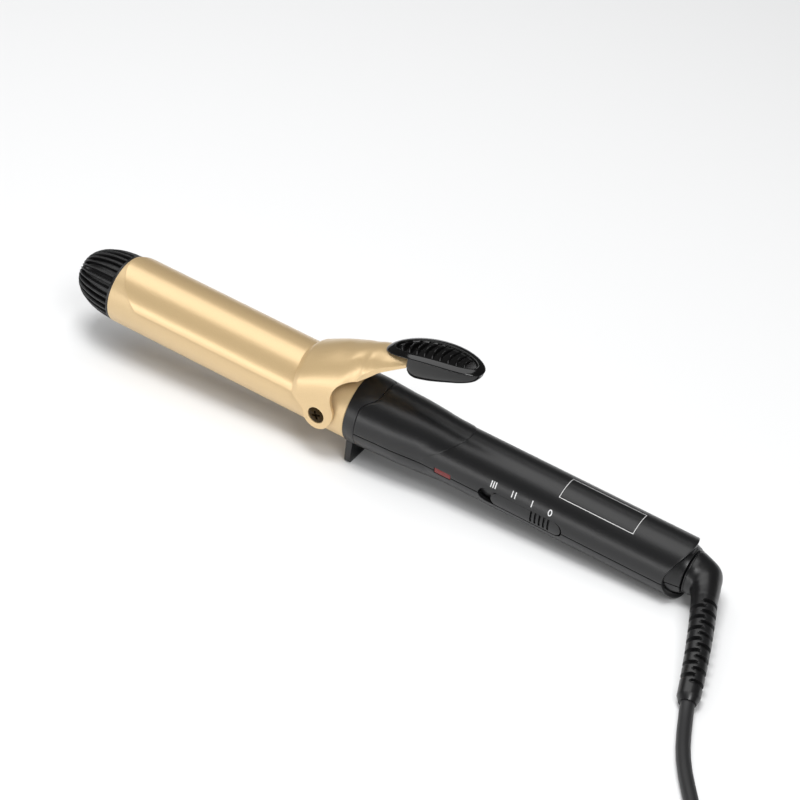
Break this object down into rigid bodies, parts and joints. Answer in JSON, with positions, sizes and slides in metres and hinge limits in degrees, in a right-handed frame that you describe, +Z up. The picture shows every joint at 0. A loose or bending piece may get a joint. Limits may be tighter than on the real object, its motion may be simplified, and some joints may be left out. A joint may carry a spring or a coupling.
{
  "type": "curling iron",
  "caption": "Curling iron with a ribbed cool tip, heated barrel, sprung clamp with thumb rest, fixed foot, slide switch, and a swivel cord with plug.",
  "frame": {"origin": "centre of the foot's resting face, on the table plane", "axes": "+X along the iron from tip to cord, +Z up from the table, switch towards -Y"},
  "size_m": [0.4177, 0.2384, 0.0721],
  "materials": {
    "champagne_metal": "satin",
    "black_plastic": "satin",
    "handle_black": "satin, fine grain",
    "gloss_black": "gloss",
    "aluminium": "machined",
    "ceramic": "matte",
    "steel": "bright",
    "glazed_bead": "gloss",
    "carrier_plastic": "matte",
    "brass": "bright",
    "bronzed_steel": "dark bronze",
    "spring_steel": "bright",
    "board_green": "satin",
    "white_plastic": "matte",
    "lamp_red": "gloss",
    "lead_white": "matte",
    "lead_blue": "matte",
    "cord_rubber": "satin",
    "tie_black": "satin",
    "plug_rubber": "satin",
    "nickel_pins": "polished"
  },
  "bodies": {
    "iron": {"tip_cap": "black_plastic", "barrel_tube": "champagne_metal", "spreader_top": "aluminium", "spreader_bottom": "aluminium", "ceramic_heater": "ceramic", "thermal_fuse": "steel", "temperature_sensor": "glazed_bead", "barrel_mount": "carrier_plastic", "pivot_inserts": "brass", "pivot_screws": "bronzed_steel", "clamp_spring": "spring_steel", "collar_foot": "black_plastic", "upper_shell": "handle_black", "lower_shell": "handle_black", "shell_screws": "steel", "circuit_board": "board_green", "slide_switch": "steel", "indicator_lens": "lamp_red", "indicator_lamp": "lamp_red", "heater_leads": "lead_white", "mains_leads": "lead_blue", "contact_springs": "brass"},
    "clamp": {"clamp_plate": "champagne_metal", "clamp_lever": "champagne_metal", "thumb_rest": "gloss_black", "thumb_rest_screw": "steel"},
    "slider": {"switch_slider": "handle_black", "switch_stub": "white_plastic"},
    "swivel": {"swivel_elbow": "black_plastic", "swivel_clip": "steel", "contact_rings": "brass", "strain_relief": "cord_rubber", "mains_cord": "cord_rubber", "cord_coil": "cord_rubber", "cord_tail": "cord_rubber", "cord_tie": "tie_black", "plug_body": "plug_rubber", "plug_pins": "nickel_pins"}
  },
  "joints": [
    {"name": "clamp_hinge", "type": "hinge", "parent": "iron", "child": "clamp", "pos_m": [-0.01249, 0, 0.02593], "axis": [0, 1, 0], "range_deg": [0, 20], "stiffness_Nm_per_rad": 0.25, "springref_deg": -57.3, "deforming": ["clamp_spring"]},
    {"name": "switch_slide", "type": "slide", "parent": "iron", "child": "slider", "axis": [-0.9976, 0, 0.0692], "range_m": [0, 0.006]},
    {"name": "cord_swivel", "type": "hinge", "parent": "iron", "child": "swivel", "pos_m": [0.16399, 0, 0.01369], "axis": [0.9976, 0, -0.0692], "continuous": true}
  ]
}
